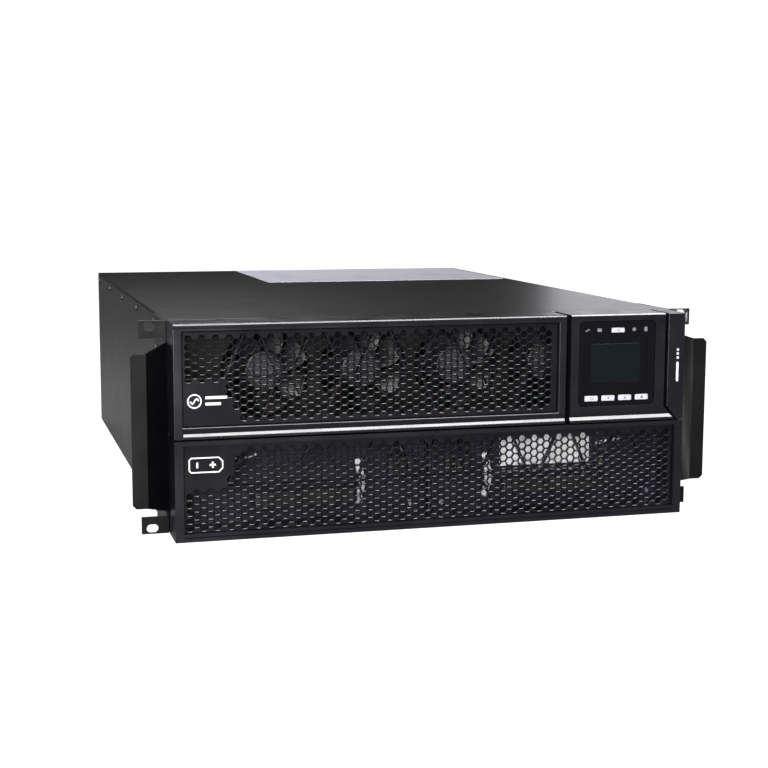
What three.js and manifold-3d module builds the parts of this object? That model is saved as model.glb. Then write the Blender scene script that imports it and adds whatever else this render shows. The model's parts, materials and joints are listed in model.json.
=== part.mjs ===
// A 4U rack-mounted uninterruptible power supply, in millimetres, +Z up.
// X runs to the viewer's right, Y from the front bezels to the rear panel, Z up.
// The origin is the middle of the underside of the whole object's box.
import * as THREE from 'three';
import { mergeVertices } from 'three/addons/utils/BufferGeometryUtils.js';
import Module from 'manifold-3d';

const wasm = await Module();
wasm.setup();

// ---------------------------------------------------------------- driving dimensions
const BODY_WIDTH = 438;
const BODY_HEIGHT = 174;
const BODY_DEPTH = 600; // sheet-metal case, behind the plane of the rack ears
const BEZEL_DEPTH = 37; // plastic bezels, in front of that plane
const REAR_REACH = 9; // what stands out behind the case
const SHEET = 1.5;
const GAP = 0.3; // left between pieces that are fitted to each other
const EAR_SPAN = 482.6; // EIA-310 panel width
const EAR_HOLE_SPAN = 465.1;
const EAR_HOLE_RISE = 165.1;
const HANDLE_SPAN = 500;
const EAR_SHEET = 2;

const HALF = BODY_WIDTH / 2;
const FRONT = -(BEZEL_DEPTH + BODY_DEPTH + REAR_REACH) / 2;
const EAR = FRONT + BEZEL_DEPTH;
const REAR = EAR + BODY_DEPTH;
const BEZEL_BACK = EAR - GAP;
const MID = BODY_HEIGHT / 2;
const SHELF = 86; // underside of the shelf between the battery bay and the electronics bay

// bezels
const SEAM = 82.4; // underside of the upper bezels
const LOWER_TOP = 81.2;
const BORDER = 7;
const STYLE_GROOVE = { top: 91.2, middle: 87.2, bottom: 84.6, depth: 1.6 };
const MESH_RECESS = 4;
const MESH_SHEET = 2;
const UPPER_OPENING = { x0: -212, x1: 104, z0: 92, z1: 168 };
const LOWER_OPENING = { x0: -212, x1: 212, z0: 6.5, z1: 77.5 };
const UPPER_RIGHT = 110.5;
const DISPLAY = { x0: 114.5, x1: 200.5, foot: 210.8, bend: 94.5 };
const COLUMN = { x0: 203.5, foot: 213, bend: 94 };
const GLASS = { x0: 121.5, x1: 191.5, z0: 96, z1: 168.5 };

// buttons on the display
const BUTTON = { width: 12.4, height: 5.2, pitch: 15.4, x: 133.75, z: 102.8 };
const POWER = { width: 12.5, height: 4.4, x: 157, z: 160.4 };
const BUTTON_PLAY = 0.3;
const INDICATOR_X = [129.2, 140, 171.7, 182.5];

// fans
const FAN = { size: 80, depth: 25, bore: 37.5, rotor: 36, hub: 17, count: 4, pitch: 82, x: -138, z: 130 };
const BULKHEAD = EAR + 2;

// battery modules
const MODULE = { inner: 1.6, outer: 216.1, length: 430, z0: 1.8, z1: 82 };

// ---------------------------------------------------------------- materials
const finish = (color, roughness, metalness = 0) =>
  new THREE.MeshStandardMaterial({ color, roughness, metalness });
const LOOK = {
  case: () => finish(0x1b1a1d, 0.45, 0.3),
  bezel: () => finish(0x1a191d, 0.4),
  mesh: () => finish(0x222126, 0.5),
  glass: () => finish(0x0d0c12, 0.08),
  lcd: () => finish(0x141c20, 0.2),
  button: () => finish(0xd6d6dc, 0.5),
  board: () => finish(0x14502c, 0.5),
  dark: () => finish(0x161618, 0.55),
  grey: () => finish(0x55565a, 0.6),
  zinc: () => finish(0xb4b6b8, 0.35, 1),
  alloy: () => finish(0xa6a9ad, 0.4, 1),
  copper: () => finish(0xb0713c, 0.4, 1),
  label: () => finish(0xe6e4ea, 0.6),
  strap: () => finish(0xe9e9ea, 0.5),
  brass: () => finish(0xc8a24a, 0.35, 1),
};

// ---------------------------------------------------------------- shape helpers
const X = new THREE.Vector3(1, 0, 0);
const Y = new THREE.Vector3(0, 1, 0);
const Z = new THREE.Vector3(0, 0, 1);

// A closed box between two corners.
function box(x0, x1, y0, y1, z0, z1) {
  const g = new THREE.BoxGeometry(x1 - x0, y1 - y0, z1 - z0);
  return g.translate((x0 + x1) / 2, (y0 + y1) / 2, (z0 + z1) / 2);
}

function polygon(points) {
  return new THREE.Shape(points.map(([a, b]) => new THREE.Vector2(a, b)));
}

function rectangle(a0, a1, b0, b1) {
  return polygon([[a0, b0], [a1, b0], [a1, b1], [a0, b1]]);
}

function roundedRectangle(a0, a1, b0, b1, r) {
  const s = new THREE.Shape();
  s.moveTo(a0 + r, b0);
  s.lineTo(a1 - r, b0);
  s.absarc(a1 - r, b0 + r, r, -Math.PI / 2, 0, false);
  s.absarc(a1 - r, b1 - r, r, 0, Math.PI / 2, false);
  s.absarc(a0 + r, b1 - r, r, Math.PI / 2, Math.PI, false);
  s.absarc(a0 + r, b0 + r, r, Math.PI, 1.5 * Math.PI, false);
  return s;
}

function regular(a, b, r, sides) {
  const corner = (i) => (2 * Math.PI * i) / sides;
  return polygon(
    Array.from({ length: sides }, (_, i) => [a + r * Math.cos(corner(i)), b + r * Math.sin(corner(i))]),
  );
}

const extrude = (shape, depth, curveSegments) =>
  new THREE.ExtrudeGeometry(shape, { depth, bevelEnabled: false, curveSegments });

// An outline drawn in X and Z, pushed from y0 to y1.
function alongY(shape, y0, y1, curveSegments = 4) {
  const g = extrude(shape, y1 - y0, curveSegments);
  g.applyMatrix4(new THREE.Matrix4().makeBasis(X, Z, Y.clone().negate()));
  return g.translate(0, y1, 0);
}

// An outline drawn in Y and Z, pushed from x0 to x1.
function alongX(shape, x0, x1, curveSegments = 4) {
  const g = extrude(shape, x1 - x0, curveSegments);
  g.applyMatrix4(new THREE.Matrix4().makeBasis(Y, Z, X));
  return g.translate(x0, 0, 0);
}

// An outline drawn in X and Y, pushed from z0 to z1.
const alongZ = (shape, z0, z1, curveSegments = 4) =>
  extrude(shape, z1 - z0, curveSegments).translate(0, 0, z0);

function rodY(r, y0, y1, x, z, sides = 24) {
  return new THREE.CylinderGeometry(r, r, y1 - y0, sides).translate(x, (y0 + y1) / 2, z);
}

// ---------------------------------------------------------------- joining and cutting
function toSolid(geometry) {
  const g = geometry.clone();
  g.deleteAttribute('normal');
  g.deleteAttribute('uv');
  const merged = mergeVertices(g, 1e-4);
  return new wasm.Manifold(
    new wasm.Mesh({
      numProp: 3,
      vertProperties: new Float32Array(merged.attributes.position.array),
      triVerts: new Uint32Array(merged.index.array),
    }),
  );
}

function toGeometry(solid) {
  const m = solid.getMesh();
  const g = new THREE.BufferGeometry();
  g.setAttribute('position', new THREE.BufferAttribute(new Float32Array(m.vertProperties), 3));
  g.setIndex(new THREE.BufferAttribute(new Uint32Array(m.triVerts), 1));
  g.computeVertexNormals();
  return g;
}

const combine = (operation) => (first, ...rest) =>
  toGeometry(rest.reduce((s, g) => s[operation](toSolid(g)), toSolid(first)));
const join = combine('add');
const cut = combine('subtract');
const common = combine('intersect');

// A flat panel from y0 to y1 with holes straight through it.
const pierced = (outline, holes, y0, y1) =>
  cut(alongY(outline, y0, y1), ...holes.map((hole) => alongY(hole, y0 - 1, y1 + 1)));

// ---------------------------------------------------------------- the assembly
const ups = new THREE.Group();

function add(name, geometry, material, parent = ups) {
  const mesh = new THREE.Mesh(geometry, material);
  mesh.name = name;
  parent.add(mesh);
  return mesh;
}

function placed(x, y, z) {
  const group = new THREE.Group();
  group.position.set(x, y, z);
  ups.add(group);
  return group;
}

// ---------------------------------------------------------------- sheet-metal case
const LIP = 12; // turned-down edges of the top cover
const COVER = BODY_HEIGHT - SHEET;

function chassisTray() {
  const wall = COVER - GAP;
  const section = polygon([
    [-HALF, 0], [HALF, 0], [HALF, wall], [HALF - SHEET, wall],
    [HALF - SHEET, SHEET], [SHEET - HALF, SHEET], [SHEET - HALF, wall], [-HALF, wall],
  ]);
  return alongY(section, EAR, REAR);
}

function topCover() {
  const lip = HALF - SHEET - GAP;
  const section = polygon([
    [-HALF, BODY_HEIGHT], [-HALF, COVER], [-lip, COVER], [-lip, COVER - LIP],
    [SHEET - lip, COVER - LIP], [SHEET - lip, COVER], [lip - SHEET, COVER], [lip - SHEET, COVER - LIP],
    [lip, COVER - LIP], [lip, COVER], [HALF, COVER], [HALF, BODY_HEIGHT],
  ]);
  return alongY(section, EAR, REAR);
}

// Places on the rear panel, each as [x0, x1, z0, z1].
const OUTLETS_C13 = [-205, -97, 102, 162];
const OUTLETS_C19 = [-88, -18, 102, 162];
const CARD = [118, 205, 132, 164];
const PORTS = [118, 205, 98, 124];
const TERMINALS = [-204, -64, 12, 76];
const BREAKER = [-46, -20, 40, 72];
const PACK_SOCKET = [18, 88, 22, 58];
const STUD = { x: 104, z: 24, hole: 3.2, shank: 2.5 };
const PANEL = REAR - 1; // outer face of the rear panel
const PANEL_INNER = PANEL - SHEET;

function rearPanel() {
  const edge = HALF - 2 * SHEET - 2 * GAP;
  const windows = [OUTLETS_C13, OUTLETS_C19, CARD, PORTS, BREAKER, PACK_SOCKET];
  const holes = windows.map((w) => rectangle(...w));
  const [tx0, tx1, tz0, tz1] = TERMINALS;
  holes.push(rectangle(tx0 + 12, tx1 - 12, tz0 + 12, tz1 - 12));
  holes.push(regular(STUD.x, STUD.z, STUD.hole, 16));
  const slots = [
    { x: -8, z: 104, count: 14 },
    { x: -8, z: 138, count: 14 },
    { x: 122, z: 18, count: 10 },
    { x: 122, z: 50, count: 10 },
  ];
  for (const row of slots) {
    for (let i = 0; i < row.count; i++) {
      const x = row.x + 8 * i;
      holes.push(rectangle(x, x + 3.6, row.z, row.z + 24));
    }
  }
  return pierced(rectangle(-edge, edge, SHEET + GAP, COVER - GAP), holes, PANEL_INNER, PANEL);
}

const SHELF_TOP = SHELF + SHEET;
const inside = HALF - SHEET - GAP;

add('chassis_tray', chassisTray(), LOOK.case());
add('top_cover', topCover(), LOOK.case());
add('rear_panel', rearPanel(), LOOK.case());
add('bay_shelf', box(-inside, inside, BULKHEAD, PANEL_INNER - GAP, SHELF, SHELF_TOP), LOOK.zinc());
add('bay_divider', box(-0.75, 0.75, BULKHEAD, EAR + 440, SHEET, SHELF), LOOK.case());

// ---------------------------------------------------------------- rack ears with pull handles
const TAB = 14.2;
const EAR_PLATE = 60; // how far the ear reaches back along the case
const HANDLE = { root: 18, low: 24.7, lip: 238, forward: 17, corner: 3 };

function rackEar() {
  const x0 = HALF + GAP;
  const x1 = x0 + EAR_SHEET;
  const tip = EAR_SPAN / 2;
  const end = HANDLE_SPAN / 2;
  const top = BODY_HEIGHT;
  const plate = box(x0, x1, EAR, EAR + EAR_PLATE, 0, top);
  const tab = (z0, z1, holeZ) => {
    const s = rectangle(x0, tip, z0, z1);
    const a = EAR_HOLE_SPAN / 2;
    s.holes.push(roundedRectangle(a - 4.75, a + 4.75, holeZ - 3.4, holeZ + 3.4, 3.3));
    return alongY(s, EAR, EAR + EAR_SHEET);
  };
  const fold = polygon([
    [x1, EAR], [x1, EAR + 2.8], [HANDLE.lip + 0.6, EAR - HANDLE.forward + EAR_SHEET],
    [end, EAR - HANDLE.forward + EAR_SHEET], [end, EAR - HANDLE.forward],
    [HANDLE.lip - 0.4, EAR - HANDLE.forward], [x0, EAR],
  ]);
  const mirror = (z) => top - z;
  const outline = polygon([
    [x0, HANDLE.root], [HANDLE.lip, HANDLE.low], [end - HANDLE.corner, HANDLE.low],
    [end, HANDLE.low + HANDLE.corner], [end, mirror(HANDLE.low + HANDLE.corner)],
    [end - HANDLE.corner, mirror(HANDLE.low)], [HANDLE.lip, mirror(HANDLE.low)], [x0, mirror(HANDLE.root)],
  ]);
  const handle = common(
    alongZ(fold, 0, top),
    alongY(outline, EAR - 2 * HANDLE.forward, EAR + 2 * HANDLE.forward),
  );
  const low = MID - EAR_HOLE_RISE / 2;
  const high = MID + EAR_HOLE_RISE / 2;
  return join(plate, tab(0, TAB, low), tab(top - TAB, top, high), handle);
}

// The mirror image in the plane X = 0, with its faces turned out again.
function mirrored(geometry) {
  const g = geometry.clone().scale(-1, 1, 1);
  const index = g.index.array;
  for (let i = 0; i < index.length; i += 3) [index[i], index[i + 1]] = [index[i + 1], index[i]];
  g.computeVertexNormals();
  return g;
}

add('ear_right', rackEar(), LOOK.case());
add('ear_left', mirrored(rackEar()), LOOK.case());

// ---------------------------------------------------------------- bezels
// The upper bezels have a chamfered top edge and a V-shaped styling groove along the bottom,
// which stops at the left-hand border.
function upperBezel(outline) {
  const body = alongY(outline, FRONT, BEZEL_BACK);
  const { top, middle, bottom, depth } = STYLE_GROOVE;
  const groove = polygon([
    [FRONT - 1, top], [FRONT - 1, bottom], [FRONT, bottom], [FRONT + depth, middle], [FRONT, top],
  ]);
  const chamfer = polygon([
    [FRONT - 1, BODY_HEIGHT - 2], [FRONT + 2, BODY_HEIGHT + 1], [FRONT - 1, BODY_HEIGHT + 1],
  ]);
  return cut(body, alongX(groove, BORDER - HALF, HALF + 1), alongX(chamfer, -HALF - 1, HALF + 1));
}

// The opening right through a bezel that its perforated panel is set in.
const withOpening = (solid, { x0, x1, z0, z1 }) => cut(solid, box(x0, x1, FRONT - 2, EAR + 2, z0, z1));

// Ribs that stiffen a perforated panel from behind: slanting pairs in a zigzag.
const RIB = { pitch: 53.6, first: -155.6, spread: 5.5, reach: 21.2, width: 1.8, depth: 4.8, inset: 0.8 };
const MESH_FRONT = FRONT + MESH_RECESS;
const MESH_BACK = MESH_FRONT + MESH_SHEET;

function ribs(opening) {
  const [x0, x1] = [opening.x0 + RIB.inset, opening.x1 - RIB.inset];
  const [z0, z1] = [opening.z0 + RIB.inset, opening.z1 - RIB.inset];
  const middle = (z0 + z1) / 2;
  const half = RIB.width / 2;
  const y0 = MESH_BACK - 0.5;
  const y1 = MESH_BACK + RIB.depth;
  const bars = [box(x0, x1, y0, y1, middle - half, middle + half)];
  const slanted = (xEnd, xMiddle) => {
    for (const end of [z0, z1]) {
      const run = polygon([
        [xEnd - half, end], [xEnd + half, end], [xMiddle + half, middle], [xMiddle - half, middle],
      ]);
      bars.push(alongY(run, y0, y1));
    }
  };
  for (let x = RIB.first; x + RIB.reach < x1 - 4; x += RIB.pitch) {
    slanted(x - RIB.spread, x - RIB.reach);
    slanted(x + RIB.spread, x + RIB.reach);
  }
  return bars;
}

// A perforated panel, drawn with one hexagon for each four by four cells of the fine pattern.
const CELL = { column: 22, row: 23.4, radius: 11.3 };
const PATCH = { width: 58, height: 44 }; // plain corner of each panel
const CELL_HALF = CELL.radius * Math.cos(Math.PI / 6);

function perforated(opening, patchAtTop) {
  const [x0, x1] = [opening.x0 + GAP, opening.x1 - GAP];
  const [z0, z1] = [opening.z0 + GAP, opening.z1 - GAP];
  const holes = [];
  const columns = Math.floor((x1 - x0 - 12) / CELL.column);
  const firstX = (x0 + x1) / 2 - (CELL.column * (columns - 1)) / 2;
  for (let c = 0; c < columns; c++) {
    const shift = c % 2 ? -CELL.row / 2 : 0;
    for (let r = 0; r < 3; r++) {
      const x = firstX + c * CELL.column;
      const z = (z0 + z1) / 2 + (r - 1) * CELL.row + shift;
      if (z - CELL_HALF < z0 + 2 || z + CELL_HALF > z1 - 2) continue;
      const nearPatch = x < x0 + PATCH.width && (patchAtTop ? z > z1 - PATCH.height : z < z0 + PATCH.height);
      if (!nearPatch) holes.push(regular(x, z, CELL.radius, 6));
    }
  }
  const sheet = pierced(rectangle(x0, x1, z0, z1), holes, MESH_FRONT, MESH_BACK);
  return join(sheet, ...ribs(opening));
}

const upperOutline = rectangle(-HALF, UPPER_RIGHT, SEAM, BODY_HEIGHT);
add('upper_bezel_frame', withOpening(upperBezel(upperOutline), UPPER_OPENING), LOOK.bezel());
add('upper_mesh', perforated(UPPER_OPENING, false), LOOK.mesh());

function lowerBezel() {
  const body = alongY(rectangle(-HALF, HALF, 0, LOWER_TOP), FRONT, BEZEL_BACK);
  const line = box(BORDER - HALF, HALF - BORDER, FRONT - 1, FRONT + 1.2, 3.2, 4);
  return cut(withOpening(body, LOWER_OPENING), line);
}
add('lower_bezel_frame', lowerBezel(), LOOK.bezel());
add('lower_mesh', perforated(LOWER_OPENING, true), LOOK.mesh());

const columnOutline = polygon([
  [COLUMN.x0, COLUMN.bend], [COLUMN.foot, SEAM], [HALF, SEAM], [HALF, BODY_HEIGHT], [COLUMN.x0, BODY_HEIGHT],
]);
add('side_column', alongY(columnOutline, FRONT, BEZEL_BACK), LOOK.bezel());

// ---------------------------------------------------------------- display
const GLASS_FRONT = FRONT + 0.5;
const GLASS_BACK = FRONT + 1.75;
const BOARD_FRONT = FRONT + 17;

function displayBezel() {
  const outline = polygon([
    [DISPLAY.x0, SEAM], [DISPLAY.foot, SEAM], [DISPLAY.x1, DISPLAY.bend],
    [DISPLAY.x1, BODY_HEIGHT], [DISPLAY.x0, BODY_HEIGHT],
  ]);
  const { x0, x1, z0, z1 } = GLASS;
  const seat = alongY(roundedRectangle(x0, x1, z0, z1, 4), FRONT - 1, FRONT + 2);
  const cavity = box(x0 + 2.5, x1 - 2.5, FRONT + 1, EAR + 1, z0 + 2.5, z1 - 2.5);
  return cut(upperBezel(outline), seat, cavity);
}

const buttonPlaces = [0, 1, 2, 3].map((i) => BUTTON.x + i * BUTTON.pitch);

function displayGlass() {
  const { x0, x1, z0, z1 } = GLASS;
  const sheet = roundedRectangle(x0 + GAP, x1 - GAP, z0 + GAP, z1 - GAP, 3.7);
  const hole = (x, z, w, h) => rectangle(x - w / 2, x + w / 2, z - h / 2, z + h / 2);
  const holes = buttonPlaces.map((x) => hole(x, BUTTON.z, BUTTON.width, BUTTON.height));
  holes.push(hole(POWER.x, POWER.z, POWER.width, POWER.height));
  return pierced(sheet, holes, GLASS_FRONT, GLASS_BACK);
}

// A key cap with the collar that keeps it behind the glass, drawn about its own centre.
function keyCap(width, height) {
  const w = width / 2 - BUTTON_PLAY;
  const h = height / 2 - BUTTON_PLAY;
  const cap = alongY(roundedRectangle(-w, w, -h, h, 0.8), 0, 14, 3);
  const collar = box(-w - 1, w + 1, GLASS_BACK - FRONT + GAP, GLASS_BACK - FRONT + GAP + 1, -h - 1, h + 1);
  return join(cap, collar);
}

add('display_bezel', displayBezel(), LOOK.bezel());
add('display_glass', displayGlass(), LOOK.glass());
add('lcd_module', box(126, 184, FRONT + 2.2, FRONT + 9, 111, 154), LOOK.lcd());
add('display_board', box(125, 188, BOARD_FRONT, BOARD_FRONT + 1.6, 99, 165), LOOK.board());

function lightPipe() {
  const bar = box(126.5, 185.5, FRONT + 5, FRONT + 8, 163.8, 165.6);
  const pips = INDICATOR_X.map((x) => box(x - 2, x + 2, FRONT + 2.2, FRONT + 8, 158.5, 163.8));
  return join(bar, ...pips);
}
add('indicator_light_pipe', lightPipe(), LOOK.label());

buttonPlaces.forEach((x, i) => {
  add(`menu_button_${i + 1}`, keyCap(BUTTON.width, BUTTON.height), LOOK.button(), placed(x, FRONT, BUTTON.z));
});
add('power_button', keyCap(POWER.width, POWER.height), LOOK.button(), placed(POWER.x, FRONT, POWER.z));

// ---------------------------------------------------------------- fans
function fanBulkhead() {
  const sheet = rectangle(-inside, inside, SHELF_TOP, COVER - LIP - GAP); // below the cover's lips
  const holes = [];
  for (let i = 0; i < FAN.count; i++) holes.push(regular(FAN.x + i * FAN.pitch, FAN.z, FAN.bore, 36));
  return pierced(sheet, holes, EAR, BULKHEAD - GAP);
}

// Both fan pieces are drawn about the middle of the fan's front face.
function fanFrame() {
  const half = FAN.size / 2;
  const s = roundedRectangle(-half, half, -half, half, 3);
  s.holes.push(regular(0, 0, FAN.bore, 36));
  const shell = alongY(s, 0, FAN.depth, 8);
  const y0 = FAN.depth - 4;
  const spoke = (turn) => box(-1.5, 1.5, y0, FAN.depth, 0, half).rotateY(turn);
  const spokes = [0, 1, 2, 3].map((i) => spoke(Math.PI / 4 + (i * Math.PI) / 2));
  const base = rodY(FAN.hub, y0, FAN.depth, 0, 0);
  const pin = rodY(2, 6, FAN.depth - 2, 0, 0, 12);
  return join(shell, base, pin, ...spokes);
}

function fanRotor() {
  const hub = cut(rodY(FAN.hub, 2, FAN.depth - 5, 0, 0), rodY(2.1, 4, FAN.depth, 0, 0, 12));
  const blades = [];
  const count = 7;
  for (let i = 0; i < count; i++) {
    const blade = new THREE.BoxGeometry(1.6, 21, FAN.rotor - FAN.hub + 2);
    blade.rotateZ(0.75);
    blade.translate(0, 11, (FAN.rotor + FAN.hub - 2) / 2);
    blades.push(blade.rotateY((2 * Math.PI * i) / count));
  }
  const sweep = rodY(FAN.rotor, 2.5, FAN.depth - 5.5, 0, 0, 36);
  return common(join(hub, ...blades), sweep);
}

add('fan_bulkhead', fanBulkhead(), LOOK.case());
for (let i = 0; i < FAN.count; i++) {
  const x = FAN.x + i * FAN.pitch;
  add(`fan_frame_${i + 1}`, fanFrame(), LOOK.dark(), placed(x, BULKHEAD, FAN.z));
  add(`fan_rotor_${i + 1}`, fanRotor(), LOOK.dark(), placed(x, BULKHEAD, FAN.z));
}

// ---------------------------------------------------------------- battery modules
const MODULE_FRONT = EAR + 0.5;
const GRIP = { x0: 64, x1: 152, z0: 20, z1: 32, reach: 14 };
const PLUG = { x0: 14, x1: 36, z0: 40, z1: 56, reach: 10 };
const TAB_STRAP = { x: { right: 52, left: 60 }, width: 6, z0: 20, z1: 50, bulge: 9, sheet: 1 };

// The pieces below are drawn on the right; the left-hand module is their mirror image, with its
// strap a little further out.
function batteryCase() {
  const { inner, outer, length, z0, z1 } = MODULE;
  const s = roundedRectangle(inner, outer, z0, z1, 2);
  return alongY(s, MODULE_FRONT, MODULE_FRONT + length, 2);
}

function batteryHandle() {
  const y0 = MODULE_FRONT - GRIP.reach;
  const s = roundedRectangle(GRIP.x0, GRIP.x1, y0, MODULE_FRONT + 4, 4);
  s.holes.push(roundedRectangle(GRIP.x0 + 8, GRIP.x1 - 8, y0 + 5, MODULE_FRONT, 2));
  return cut(alongZ(s, GRIP.z0, GRIP.z1), box(0, HALF, MODULE_FRONT - GAP, EAR + 20, 0, BODY_HEIGHT));
}

function batteryPlug() {
  const y0 = MODULE_FRONT - PLUG.reach;
  const body = box(PLUG.x0, PLUG.x1, y0, MODULE_FRONT - GAP, PLUG.z0, PLUG.z1);
  const slot = (x) => box(x, x + 3.5, y0 - 1, y0 + 6, PLUG.z0 + 4, PLUG.z1 - 4);
  return cut(body, slot(PLUG.x0 + 5), slot(PLUG.x1 - 8.5));
}

function pullTab(side) {
  const { width, z0, z1, bulge, sheet } = TAB_STRAP;
  const x = TAB_STRAP.x[side];
  const y = MODULE_FRONT - GAP;
  const s = new THREE.Shape();
  s.moveTo(y, z0 - 4);
  s.lineTo(y, z0);
  s.quadraticCurveTo(y - 2 * bulge, (z0 + z1) / 2, y, z1);
  s.lineTo(y, z1 + 4);
  s.lineTo(y - sheet, z1 + 4);
  s.lineTo(y - sheet, z1);
  s.quadraticCurveTo(y - 2 * bulge - sheet, (z0 + z1) / 2, y - sheet, z0);
  s.lineTo(y - sheet, z0 - 4);
  return alongX(s, x - width / 2, x + width / 2, 10);
}

const modulePieces = { case: batteryCase, handle: batteryHandle, plug: batteryPlug, pull_tab: pullTab };
const moduleLooks = { case: LOOK.grey, handle: LOOK.dark, plug: LOOK.dark, pull_tab: LOOK.strap };
for (const [piece, make] of Object.entries(modulePieces)) {
  const drawn = (side) => toGeometry(toSolid(make(side)));
  add(`battery_${piece}_right`, drawn('right'), moduleLooks[piece]());
  add(`battery_${piece}_left`, mirrored(drawn('left')), moduleLooks[piece]());
}
add('battery_label', box(65.5, 148.5, MODULE_FRONT - 0.5, MODULE_FRONT, 41.5, 69), LOOK.label());

// ---------------------------------------------------------------- electronics bay
const BOARD_Z = SHELF_TOP + 5;
const BOARD_TOP = BOARD_Z + 1.6;

function heatsink(x0, x1) {
  const s = new THREE.Shape();
  const base = 7;
  const tall = 52;
  const fins = 8;
  const fin = 2;
  const pitch = (x1 - x0 - fin) / (fins - 1);
  s.moveTo(x0, BOARD_TOP);
  s.lineTo(x1, BOARD_TOP);
  for (let i = fins - 1; i >= 0; i--) {
    const x = x0 + i * pitch;
    s.lineTo(x + fin, BOARD_TOP + tall);
    s.lineTo(x, BOARD_TOP + tall);
    if (i > 0) {
      s.lineTo(x, BOARD_TOP + base);
      s.lineTo(x - pitch + fin, BOARD_TOP + base);
    }
  }
  return alongY(s, -200, 20);
}

const standing = (r, height, x, y) =>
  new THREE.CylinderGeometry(r, r, height, 24).rotateX(Math.PI / 2).translate(x, y, BOARD_TOP + height / 2);

add('power_board', box(-205, 160, -240, 240, BOARD_Z, BOARD_TOP), LOOK.board());
add('heatsink_left', heatsink(-195, -95), LOOK.alloy());
add('heatsink_right', heatsink(0, 100), LOOK.alloy());
for (let i = 0; i < 3; i++) {
  add(`dc_capacitor_${i + 1}`, standing(17, 46, -160 + i * 42, 60), LOOK.dark());
}
add('output_inductor', cut(standing(32, 34, 60, 130), standing(12, 80, 60, 130)), LOOK.copper());
add('control_board', box(196, 197.6, -200, 40, 96, 150), LOOK.board());

// ---------------------------------------------------------------- rear fittings
const OUTLET_FACE = PANEL + 3;

// A block of outlets: a flange on the panel, a body behind it, and in each outlet
// a narrow channel around the core and three contact slots.
function outletBank([x0, x1, z0, z1], columns, rows, core) {
  const flange = box(x0 - 3, x1 + 3, PANEL + GAP, OUTLET_FACE, z0 - 3, z1 + 3);
  const body = box(x0 + GAP, x1 - GAP, PANEL - 28, OUTLET_FACE, z0 + GAP, z1 - GAP);
  const cuts = [];
  for (let c = 0; c < columns; c++) {
    for (let r = 0; r < rows; r++) {
      const x = x0 + ((c + 0.5) * (x1 - x0)) / columns;
      const z = z0 + ((r + 0.5) * (z1 - z0)) / rows;
      const w = core.width / 2;
      const h = core.height / 2;
      const ring = rectangle(x - w - 2, x + w + 2, z - h - 2, z + h + 2);
      ring.holes.push(rectangle(x - w, x + w, z - h, z + h));
      cuts.push(alongY(ring, OUTLET_FACE - 12, OUTLET_FACE + 1));
      for (const [dx, dz] of [[-core.slot, -2], [0, 3], [core.slot, -2]]) {
        const slot = rectangle(x + dx - 1.2, x + dx + 1.2, z + dz - 2.8, z + dz + 2.8);
        cuts.push(alongY(slot, OUTLET_FACE - 14, OUTLET_FACE + 1));
      }
    }
  }
  return cut(join(flange, body), ...cuts);
}

add('outlet_bank_c13', outletBank(OUTLETS_C13, 3, 2, { width: 20, height: 14, slot: 6.5 }), LOOK.dark());
add('outlet_bank_c19', outletBank(OUTLETS_C19, 2, 2, { width: 24, height: 17, slot: 7.5 }), LOOK.dark());

const GLAND = { x: -170, z: 44, bore: 9, collar: 15 };

function terminalCover() {
  const [x0, x1, z0, z1] = TERMINALS;
  const outer = box(x0, x1, PANEL + GAP, REAR + 6, z0, z1);
  const hollow = box(x0 + 2, x1 - 2, PANEL - 1, REAR + 4, z0 + 2, z1 - 2);
  return cut(outer, hollow, rodY(GLAND.bore + 0.8, PANEL - 2, REAR + 8, GLAND.x, GLAND.z));
}

function cableGland() {
  const nut = alongY(regular(GLAND.x, GLAND.z, GLAND.collar, 6), REAR + 6 + GAP, REAR + REAR_REACH);
  const neck = rodY(GLAND.bore, PANEL + 2, REAR + REAR_REACH, GLAND.x, GLAND.z);
  return cut(join(nut, neck), rodY(GLAND.bore - 2, PANEL, REAR + 2 * REAR_REACH, GLAND.x, GLAND.z));
}

function breakerBody() {
  const [x0, x1, z0, z1] = BREAKER;
  const flange = box(x0 - 2, x1 + 2, PANEL + GAP, PANEL + 2.5, z0 - 2, z1 + 2);
  const body = box(x0 + GAP, x1 - GAP, PANEL - 34, PANEL + 2.5, z0 + GAP, z1 - GAP);
  return cut(join(flange, body), rodY(5.2, PANEL - 20, PANEL + 4, (x0 + x1) / 2, (z0 + z1) / 2));
}

const RESET = { x: (BREAKER[0] + BREAKER[1]) / 2, z: (BREAKER[2] + BREAKER[3]) / 2 };

function cardPlate() {
  const [x0, x1, z0, z1] = CARD;
  const plate = box(x0 - 4, x1 + 4, PANEL + GAP, PANEL + 1.8, z0 - 3, z1 + 3);
  const knob = (x) => rodY(4, PANEL + 1, PANEL + 8, x, (z0 + z1) / 2, 16);
  const card = box(x0 + 2, x1 - 2, PANEL - 90, PANEL + 1, z0 + 4, z0 + 5.6);
  return join(plate, knob(x0 + 3), knob(x1 - 3), card);
}

const JACKS = [
  { name: 'network_jack', x: 132, z: 111, width: 12, height: 8 },
  { name: 'usb_jack', x: 155, z: 111, width: 9, height: 8 },
];

function portPlate() {
  const [x0, x1, z0, z1] = PORTS;
  const plate = box(x0 - 3, x1 + 3, PANEL + GAP, PANEL + 1.8, z0 - 2, z1 + 2);
  const body = box(x0 + GAP, x1 - GAP, PANEL - 18, PANEL + 1.8, z0 + GAP, z1 - GAP);
  const block = box(174, 196, PANEL + 1, PANEL + 7, 105, 117);
  const screwHoles = [178, 185, 192].map((x) => rodY(1.5, PANEL + 3, PANEL + 8, x, 111, 8));
  const jacks = JACKS.map((j) =>
    box(j.x - j.width / 2, j.x + j.width / 2, PANEL - 12, PANEL + 3, j.z - j.height / 2, j.z + j.height / 2),
  );
  return cut(join(plate, body, block), ...jacks, ...screwHoles);
}

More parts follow.
